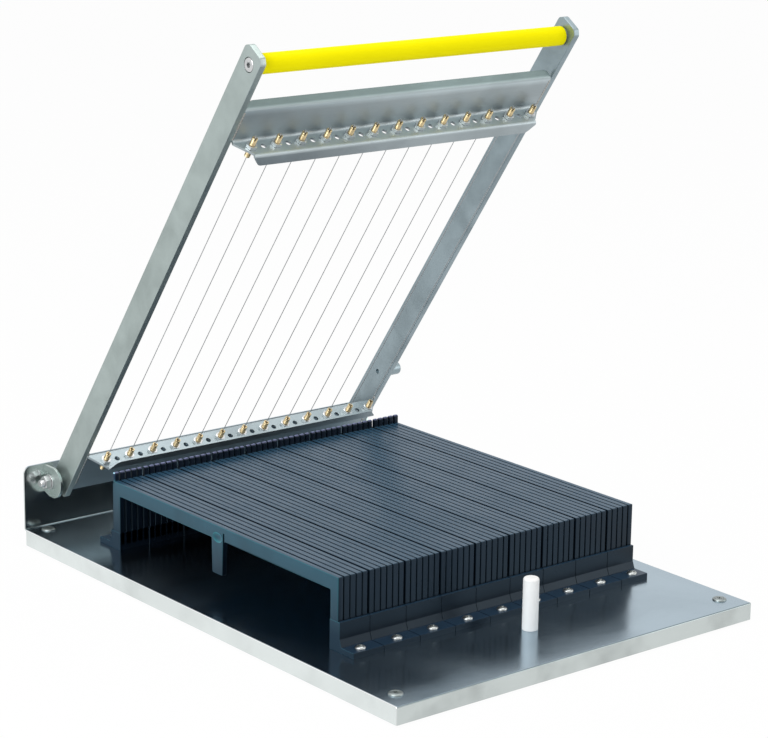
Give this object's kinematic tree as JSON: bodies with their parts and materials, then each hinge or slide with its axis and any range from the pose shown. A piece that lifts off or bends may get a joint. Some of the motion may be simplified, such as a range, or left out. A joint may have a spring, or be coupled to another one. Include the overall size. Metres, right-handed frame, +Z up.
{
  "type": "chocolate guitar cutter",
  "caption": "Wire cutter for slabs of chocolate: a hinged frame of taut wires closes through a slotted black bed on a steel tray.",
  "frame": {"origin": "middle of the object's lowest plane, under the rubber feet", "axes": "+Z up, +Y towards the rear upstand and hinge, +X to the right of a user who stands at the front"},
  "size_m": [0.465, 0.642, 0.5871],
  "materials": {
    "polished_sheet": "polished",
    "brushed_steel": "brushed",
    "fastener_steel": "satin",
    "wire": "satin",
    "brass": "satin",
    "bed_plastic": "satin",
    "yellow_plastic": "gloss",
    "white_plastic": "satin",
    "rubber": "matte"
  },
  "bodies": {
    "tray": {"base_tray": "polished_sheet", "hinge_lug_left": "brushed_steel", "hinge_lug_right": "brushed_steel", "pivot_bolt_left": "fastener_steel", "pivot_bolt_right": "fastener_steel", "pivot_spacer_left": "fastener_steel", "pivot_spacer_right": "fastener_steel", "pivot_washer_left": "fastener_steel", "pivot_washer_right": "fastener_steel", "pivot_nut_left": "fastener_steel", "pivot_nut_right": "fastener_steel", "bed_module_1": "bed_plastic", "bed_module_2": "bed_plastic", "bed_module_3": "bed_plastic", "bed_module_4": "bed_plastic", "bed_module_5": "bed_plastic", "bed_module_6": "bed_plastic", "bed_module_7": "bed_plastic", "bed_module_8": "bed_plastic", "bed_module_9": "bed_plastic", "bed_screws_front": "fastener_steel", "bed_screws_rear": "fastener_steel", "bed_nuts_front": "fastener_steel", "bed_nuts_rear": "fastener_steel", "stop_peg": "white_plastic", "peg_screw": "fastener_steel", "foot_screws": "fastener_steel", "foot_washers": "fastener_steel", "rubber_feet": "rubber"},
    "wire_frame": {"arm_left": "brushed_steel", "arm_right": "brushed_steel", "handle_rod": "fastener_steel", "handle_sleeve": "yellow_plastic", "handle_collars": "fastener_steel", "handle_screw_left": "fastener_steel", "handle_screw_right": "fastener_steel", "arm_knob": "fastener_steel", "upper_wire_bar": "brushed_steel", "lower_wire_bar": "brushed_steel", "tension_screws": "brass", "tension_nuts": "fastener_steel", "anchor_screws": "brass", "anchor_nuts": "fastener_steel", "cutting_wires": "wire"}
  },
  "joints": [
    {"name": "frame_hinge", "type": "hinge", "parent": "tray", "child": "wire_frame", "pos_m": [0.0055, 0.3075, 0.0725], "axis": [-1, 0, 0], "range_deg": [-52.65, 40]}
  ]
}
